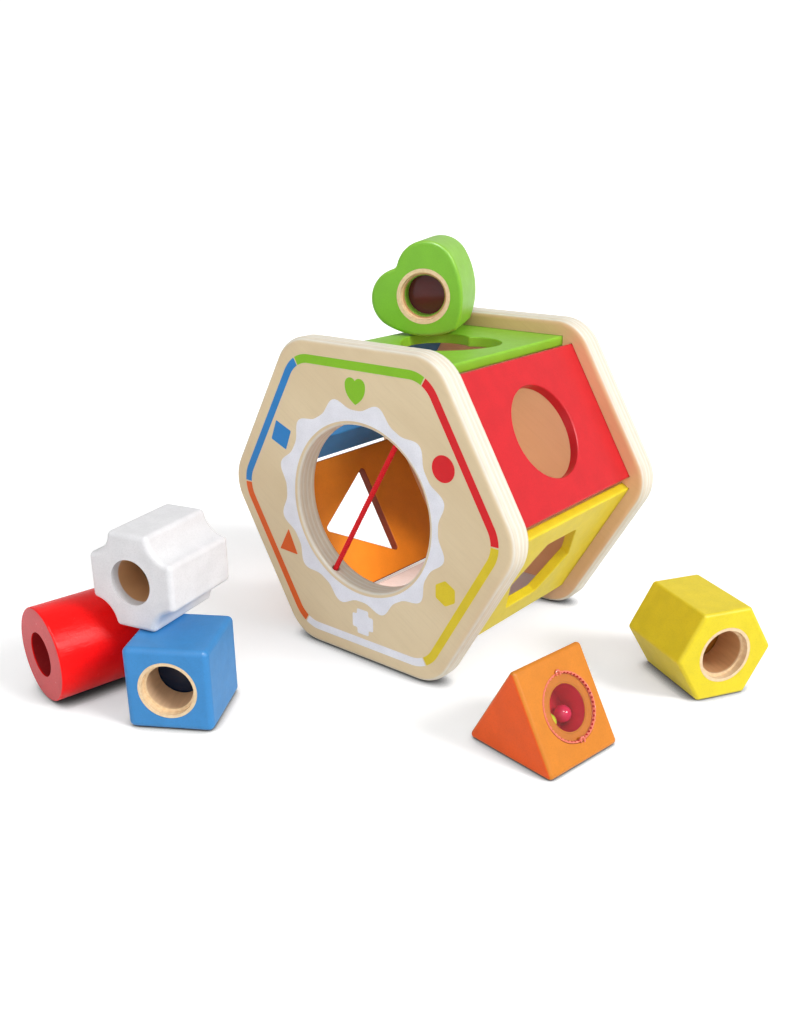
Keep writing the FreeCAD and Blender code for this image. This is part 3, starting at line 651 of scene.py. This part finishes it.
def square_icon():
    half, rounding = 4.7, 0.5
    return rounded([(-half, -half), (half, -half), (half, half), (-half, half)], rounding)


def triangle_icon():
    half_base, base, tip, rounding = 5.5, -4.6, 6.2, 0.6
    return rounded([(-half_base, base), (half_base, base), (0, tip)], rounding)


def hexagon_icon():
    reach, rounding = 5.5, 0.7
    return rounded(circle_points(reach, count=6, first=90), rounding)


def circle_icon():
    radius = 5.4
    return circle_points(radius, count=48)


def ink_mesh(name, outlines):
    """A mesh of flat filled outlines in the plane of x and y, as thick as the print."""
    curve = bpy.data.curves.new(name, "CURVE")
    curve.dimensions = "2D"
    curve.fill_mode = "BOTH"
    curve.extrude = PRINT_HEIGHT / 2 * MM
    for outline in outlines:
        spline = curve.splines.new("POLY")
        spline.points.add(len(outline) - 1)
        for point, (x, z) in zip(spline.points, outline):
            point.co = (x * MM, z * MM, 0, 1)
        spline.use_cyclic_u = True
    holder = bpy.data.objects.new(name + "_curve", curve)
    mesh = bpy.data.meshes.new_from_object(holder)
    mesh.name = name
    bpy.data.objects.remove(holder)
    bpy.data.curves.remove(curve)
    return mesh


def print_on_front(name, outlines, material):
    """Flat shapes of ink on the front face; each outline is points (x, z) about the centre."""
    mesh = ink_mesh(name, outlines)
    upright = Matrix.Rotation(math.radians(90), 4, "X")
    centre = Vector((0, (PLATE_FRONT_Y - PRINT_HEIGHT / 2) * MM, BOX_CENTRE_Z * MM))
    mesh.transform(Matrix.Translation(centre) @ upright)
    mesh.materials.append(material)
    made = new_object(name, mesh)
    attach(made, "box")


def print_decoration():
    """For each side of the box: its ink, the angle of its strip, and its small shape's outline,
    turn and place."""
    sides = {
        "green": (PRINT_GREEN, 90, heart_icon(), 0, (-0.8, 52.2)),
        "red": (PRINT_RED, 30, circle_icon(), 0, (43.1, 26.0)),
        "yellow": (PRINT_YELLOW, -30, hexagon_icon(), 0, (44.2, -24.9)),
        "white": (PRINT_WHITE, -90, cross_icon(), 0, (0.0, -50.4)),
        "orange": (PRINT_ORANGE, -150, triangle_icon(), -2.5, (-43.2, -23.8)),
        "blue": (PRINT_BLUE, 150, square_icon(), -22, (-44.5, 25.1)),
    }
    for name, (colour, facing, icon, turn, (x, z)) in sides.items():
        ink = painted("ink_" + name, colour, along=2, depth=0.03, roughness=0.42, gloss=0.25)
        print_on_front("print_strip_" + name, [strip_outline(facing)], ink)
        print_on_front("print_icon_" + name, [turned(icon, turn, x, z)], ink)
        if name == "white":
            print_on_front("print_sunburst", sunburst(), ink)


# ---------------------------------------------------------------- pieces with finer shapes

def domed_lens(node, axis, body, material):
    """A lens with a shallow dome on both faces, in place of its plain disc."""
    radius, edge, dome, steps = 11.4, 0.8, 0.7, 8
    rings = []
    for step in range(steps + 1):
        reach = radius * max(step / steps, 0.02)
        rings.append((reach, -edge - dome * math.cos(math.pi / 2 * reach / radius)))
    rings += [(reach, -height) for reach, height in reversed(rings)]
    vertices, faces = lathe(rings, count=48)
    made = add_mesh(node + "_domed", vertices, faces, body, material, axis_frame(node, axis))
    smooth_shading(made)
    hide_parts(node)


def braided_strand(way, start):
    """The vertices of one strand that winds one way round the cord from a starting angle."""
    reach, weave, half_width, half_length, pitch = 0.80, 0.12, 0.32, 0.60, 5.5
    vertices = []
    for step in range(STRAND_STEPS + 1):
        along = CORD_LENGTH * (step / STRAND_STEPS - 0.5)
        angle = math.pi * 2 * (way * along / pitch + start)
        middle = reach + weave * way * math.cos(STRAND_PAIRS * angle)
        out = Vector((math.cos(angle), math.sin(angle), 0))
        for side in range(STRAND_SIDES):
            turn = 2 * math.pi * side / STRAND_SIDES
            point = out * (middle + half_width * math.cos(turn))
            point.z = along + half_length * math.sin(turn)
            vertices.append(point)
    return vertices


def braided_cord(material):
    """Four pairs of strands, one each way round, woven over and under each other about a core."""
    radius, half = 0.7, CORD_LENGTH / 2
    vertices, faces = lathe([(radius, -half), (radius, half)], count=12)
    for pair in range(STRAND_PAIRS):
        for way in (-1, 1):
            faces += tube_faces(len(vertices), STRAND_STEPS, STRAND_SIDES)
            vertices += braided_strand(way, pair / STRAND_PAIRS)
    slope = math.radians(CORD_SLOPE)
    place = axis_frame("elastic_cord", Vector((math.cos(slope), 0, math.sin(slope))))
    made = add_mesh("braided_cord", vertices, faces, "box", material, place)
    made.data.shade_smooth()
    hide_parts("elastic_cord")


def rattle_window(clear, ring, ring_shade):
    """Clear disc, the knurled ring pressed round it, and the ring's two curled lugs."""
    place = window_frame()
    outer = WINDOW_RADIUS - 0.05
    inner = outer - WINDOW_RING_WIDTH
    seat = -WINDOW_THICKNESS + 0.1
    disc = lathe([(inner, WINDOW_RECESS), (inner, seat)], count=144)
    made = add_mesh("rattle_window", *disc, "triangle", clear, place)
    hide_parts("triangle_window")
    knurled_ring(place, inner + 0.02, outer, seat, ring, ring_shade)
    for name, side in (("window_lug_upper", 1), ("window_lug_lower", -1)):
        end = Matrix.Translation(Vector((0, side * (outer - 0.3), 0.1)) * MM)
        piece = add_mesh(name, *curled_lug(), "triangle", ring, place @ end)
        smooth_shading(piece, sharp_angle=60)


def knurled_ring(place, inner, outer, seat, light, shade):
    """A raised ring with teeth on its inner edge; the gaps between the teeth carry painted shade."""
    count = KNURLS * 4
    profile = [(inner, seat), (inner, WINDOW_RECESS), (inner + 0.05, 0.20), (outer - 0.12, 0.26),
               (outer, 0.10), (outer, seat)]
    toothed = 2
    vertices, faces = lathe(profile, count, (KNURLS, KNURL_DEPTH, toothed))
    faces = faces[:-2]  # a ring has no end caps: its last ring joins its first one
    last = (len(profile) - 1) * count
    for i in range(count):
        after = (i + 1) % count
        faces.append((last + i, i, after, last + after))
    made = add_mesh("window_ring", vertices, faces, "triangle", light, place)
    made.data.materials.append(shade)
    for i in range(count):
        # painted shade: the faces in the gaps between the teeth get the darker material
        in_gap = i % 4 in (1, 2)
        made.data.polygons[(toothed - 1) * count + i].material_index = int(in_gap)


def curled_lug():
    """A short bead of plastic bent into a hook, lying on the face."""
    bend, thickness, sides, steps = 1.00, 0.46, 8, 16
    first_angle, sweep, lift = -60, 280, 0.40
    vertices = []
    for step in range(steps + 1):
        angle = math.radians(first_angle + sweep * step / steps)
        out = Vector((math.cos(angle), math.sin(angle), 0))
        swell = thickness * (0.55 + 0.45 * math.sin(math.pi * step / steps))
        for side in range(sides):
            turn = 2 * math.pi * side / sides
            height = lift + swell * math.sin(turn)
            vertices.append(out * (bend + swell * math.cos(turn)) + Vector((0, 0, height)))
    return vertices, tube_faces(0, steps, sides)


# ---------------------------------------------------------------- dressing the CAD pieces

def dress_box():
    set_material("front_plate", plywood("front_plywood", PLATE_FRONT_Y, 1))
    set_material("rear_plate", plywood("rear_plywood", REAR_PLATE_Y, -1))
    boards = {
        "top_board": GREEN, "upper_right_board": RED, "lower_right_board": YELLOW,
        "bottom_board": WHITE, "upper_left_board": BLUE,
    }
    for node, colour in boards.items():
        calm = node in ("lower_right_board", "bottom_board")
        set_material(node, painted(node + "_paint", colour, calm=calm))
    dress_lower_left_board()
    braided_cord(elastic("elastic_red", CORD_RED))


def dress_lower_left_board():
    """Orange on its two faces, with painted shade, a deep red-brown, on its edges and on the walls of
    its hole.
    """
    face = Matrix.Rotation(math.radians(60), 4, "Y")
    set_material("lower_left_board", painted(
        "lower_left_board_paint", HOLE_SHADE, face, along=2, end_colour=ORANGE))


def dress_blocks():
    heart = block_frame("heart_lens", HEART_TURN, HEART_ROLL)
    cross = block_frame("cross_lens", CROSS_TURN)
    cube = block_frame("cube_lens", CUBE_TURN)
    hexagon = block_frame("hexagon_lens", HEXAGON_TURN)
    cylinder = block_frame("cylinder_block", CYLINDER_TURN)
    triangle = block_frame("triangle_block", TRIANGLE_TURN)
    # painted shade: the heart's faces get a darker green than its sides
    set_material("heart_block", painted(
        "heart_paint", GREEN, heart, end_colour=HEART_FACE_SHADE_GREEN, gloss=0.5, calm=True))
    # painted shade: past the white-painted mouth, the cross's bore is bare wood drawn darker
    set_material("cross_block", painted(
        "cross_paint", WHITE, cross, gloss=0.4, bore=(BORE_PAINT_REACH, SHADED_BORE_WOOD, 4.0)))
    set_material("cube_block", painted(
        "cube_paint", BLUE, cube, gloss=0.4, calm=True))
    set_material("hexagon_block", painted(
        "hexagon_paint", YELLOW, hexagon, calm=True))
    # painted sheen on the end faces, and painted shade down the bore
    set_material("cylinder_block", painted(
        "cylinder_paint", CYLINDER_RED, cylinder, end_colour=CYLINDER_END_SHEEN_RED, gloss=0.14,
        roughness=0.24, depth=0.40, bore=(BORE_PAINT_REACH, SHADED_CYLINDER_BORE_RED, 0.5), calm=True))
    set_material("triangle_block", painted(
        "triangle_paint", ORANGE, triangle, end_colour=ORANGE_END, calm=True))
    dress_tubes(heart, cube, hexagon)
    dress_lenses(heart, cross, cube, hexagon)


def dress_tubes(heart, cube, hexagon):
    """The beech rings and tubes that line both ends of three of the bores."""
    linings = {
        "heart_{}_ring": (heart, HEART_LENGTH, SHADED_BORE_WOOD),
        "cube_{}_tube": (cube, CUBE_LENGTH, LIGHTLY_SHADED_BORE_WOOD),
        "hexagon_{}_tube": (hexagon, BLOCK_LENGTH, SHADED_BORE_WOOD),
    }
    for pattern, (place, length, shaded_bore_wood) in linings.items():
        for end in ("front", "rear"):
            node = pattern.format(end)
            set_material(node, turned_beech(node + "_beech", place, length, shaded_bore_wood))


def dress_lenses(heart, cross, cube, hexagon):
    lenses = {
        "heart": (heart, RED_LENS, "red_lens"),
        "cross": (cross, BROWN_LENS, "brown_lens"),
        "cube": (cube, BLUE_LENS, "blue_lens"),
        "hexagon": (hexagon, AMBER_LENS, "amber_lens"),
    }
    for name, (place, tint, slot) in lenses.items():
        axis = place.to_3x3() @ Vector((0, 1, 0))
        domed_lens(name + "_lens", axis, name, dark_lens(name + "_tint", tint))


def dress_rattle():
    rattle_window(clear_plastic("window_plastic"), plastic("ring_plastic", RING_RED),
                  plastic("ring_shade_plastic", RING_SHADE))
    set_material("rattle_cup", plastic("cup_plastic", CUP_RED, lip_colour=darker(ORANGE, 0.95)))
    set_material("pink_bead", plastic("pink_bead_plastic", BEAD_PINK, roughness=0.12))
    set_material("lime_bead", plastic("lime_bead_plastic", BEAD_LIME, roughness=0.12))


# ---------------------------------------------------------------- studio

def studio():
    """A white floor under a white dome, three soft suns, and small lights inside the box."""
    add_floor()
    white_dome()
    soft_sun("key", direction=(0.88, 0.18, 0.62), strength=1.9, angle=20)
    soft_sun("front_fill", direction=(0.45, -0.85, 0.60), strength=0.62, angle=60)
    sparkle = soft_sun("sparkle", direction=(0.38, -0.30, 0.87), strength=4.0, angle=14)
    sparkle.visible_diffuse = False  # only its mirror image in gloss shows
    opening_glow(power=0.011)
    inside_spot("inside_rear", place=(4, 8, 74), aim=(26, 95, 84), power=0.10, cone=46)
    inside_spot("inside_low", place=(10, 10, 78), aim=(-31, 46, 20), power=0.26, cone=42)
    inside_spot("inside_edge", place=(14, 10, 60), aim=(-54, 30, 66), power=0.04, cone=26)


def add_floor():
    """A square floor, so wide that its edge meets the horizon."""
    mesh = bpy.data.meshes.new("floor")
    far = FLOOR_REACH * MM
    corners = [(-far, -far, 0), (far, -far, 0), (far, far, 0), (-far, far, 0)]
    mesh.from_pydata(corners, [], [(0, 1, 2, 3)])
    mesh.materials.append(white_floor())
    new_object("floor", mesh)


def white_dome():
    """Pure white where the camera sees it, and a little dimmer as a source of light."""
    world = bpy.data.worlds.new("studio")
    world.use_nodes = True
    tree = world.node_tree
    background = tree.nodes["Background"]
    background.inputs["Color"].default_value = (1.0, 1.0, 1.0, 1.0)
    seen = tree.nodes.new("ShaderNodeLightPath").outputs["Is Camera Ray"]
    strength = tree.nodes.new("ShaderNodeMapRange")
    strength.inputs["To Min"].default_value = DOME_LIGHT
    strength.inputs["To Max"].default_value = HORIZON_LIGHT
    tree.links.new(seen, strength.inputs["Value"])
    tree.links.new(strength.outputs["Result"], background.inputs["Strength"])
    bpy.context.scene.world = world


def aimed_light(data, direction):
    """A light of the studio that shines along a direction."""
    light = new_object(data.name, data)
    light.rotation_mode = "QUATERNION"
    light.rotation_quaternion = Vector(direction).to_track_quat("-Z", "Y")
    return light


def soft_sun(name, direction, strength, angle):
    """A distant light of the given angular width, which stands in the given direction."""
    data = bpy.data.lights.new(name, "SUN")
    data.energy = strength
    data.angle = math.radians(angle)
    return aimed_light(data, -Vector(direction))


def opening_glow(power):
    """A faint disc of light in the front plate's opening, so that the inside shows."""
    margin, behind = 5, 6
    data = bpy.data.lights.new("opening_glow", "AREA")
    data.shape = "DISK"
    data.size = 2 * (OPENING_RADIUS - margin) * MM
    data.energy = power
    data.color = GLOW_TINT
    light = aimed_light(data, (0, 1, 0))
    light.location = (0, behind * MM, BOX_CENTRE_Z * MM)
    light.visible_camera = False


def inside_spot(name, place, aim, power, cone):
    """A small light just behind the front plate, aimed at a point inside the box."""
    data = bpy.data.lights.new(name, "SPOT")
    data.energy = power
    data.color = SPOT_TINT
    data.shadow_soft_size = 5 * MM
    data.spot_size = math.radians(cone)
    data.spot_blend = 0.8
    light = aimed_light(data, Vector(aim) - Vector(place))
    light.location = Vector(place) * MM
    light.visible_camera = False


def add_camera():
    """The viewpoint: high on the right, in front of the box."""
    azimuth = math.radians(CAMERA_AZIMUTH)
    elevation = math.radians(CAMERA_ELEVATION)
    roll = math.radians(CAMERA_ROLL)
    back = Vector((math.sin(azimuth) * math.cos(elevation),
                   -math.cos(azimuth) * math.cos(elevation), math.sin(elevation)))
    right = Vector((math.cos(azimuth), math.sin(azimuth), 0))
    up = back.cross(right)
    tilted_right = right * math.cos(roll) + up * math.sin(roll)
    tilted_up = up * math.cos(roll) - right * math.sin(roll)
    data = bpy.data.cameras.new("camera")
    data.lens = CAMERA_LENS
    data.sensor_width = CAMERA_SENSOR
    data.clip_start = 10 * MM
    camera = new_object("camera", data)
    turn = Matrix((tilted_right, tilted_up, back)).transposed().to_4x4()
    camera.matrix_world = Matrix.Translation(Vector(CAMERA_PLACE) * MM) @ turn
    bpy.context.scene.camera = camera


def colour_management():
    view = bpy.context.scene.view_settings
    view.view_transform = "Standard"
    view.look = "None"
    view.exposure = 0.0
    view.gamma = 1.0


dress_box()
dress_blocks()
dress_rattle()
print_decoration()
studio()
add_camera()
colour_management()
